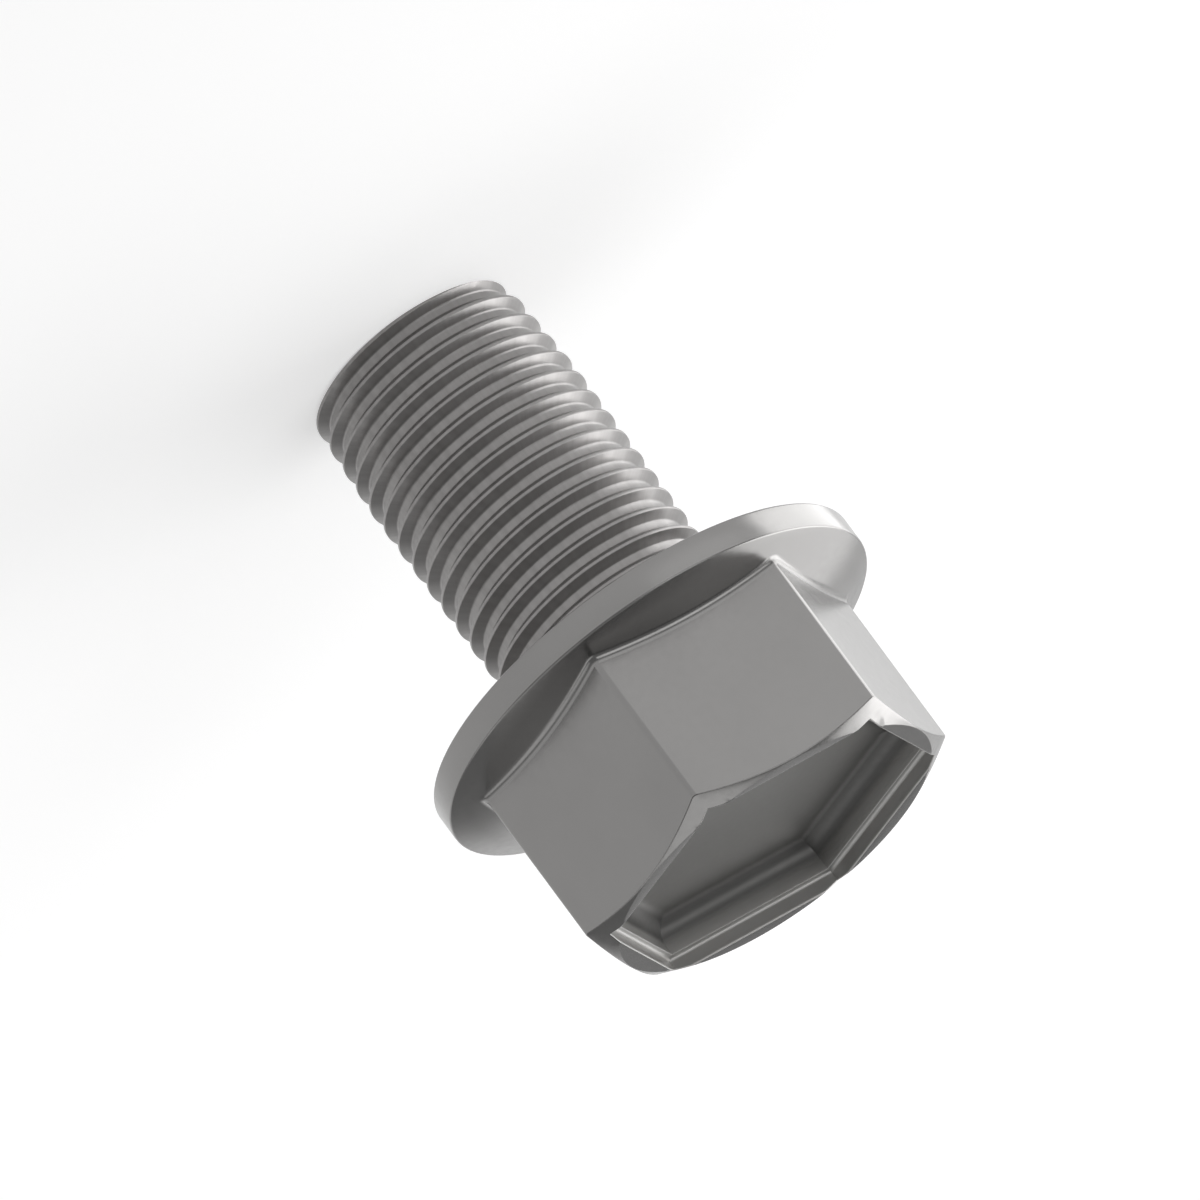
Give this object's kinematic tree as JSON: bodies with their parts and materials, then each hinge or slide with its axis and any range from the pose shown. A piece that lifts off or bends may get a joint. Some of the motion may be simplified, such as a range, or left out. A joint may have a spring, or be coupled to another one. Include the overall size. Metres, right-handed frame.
{
  "type": "hex washer head screw",
  "caption": "Short machine screw with an indented hexagon head, a built-in round flange and a fully threaded shank with a slightly tapered end.",
  "frame": {"origin": "centre of the flat end of the shank, which the screw stands on", "axes": "+Z along the screw's axis from the shank's end to the head; two of the head's flats are parallel to X, and two corners point along +X and -X"},
  "size_m": [0.0194, 0.0194, 0.0252],
  "materials": {
    "steel": "plain steel with a satin sheen, clean and new"
  },
  "bodies": {
    "root": {"screw": "steel"}
  },
  "joints": []
}
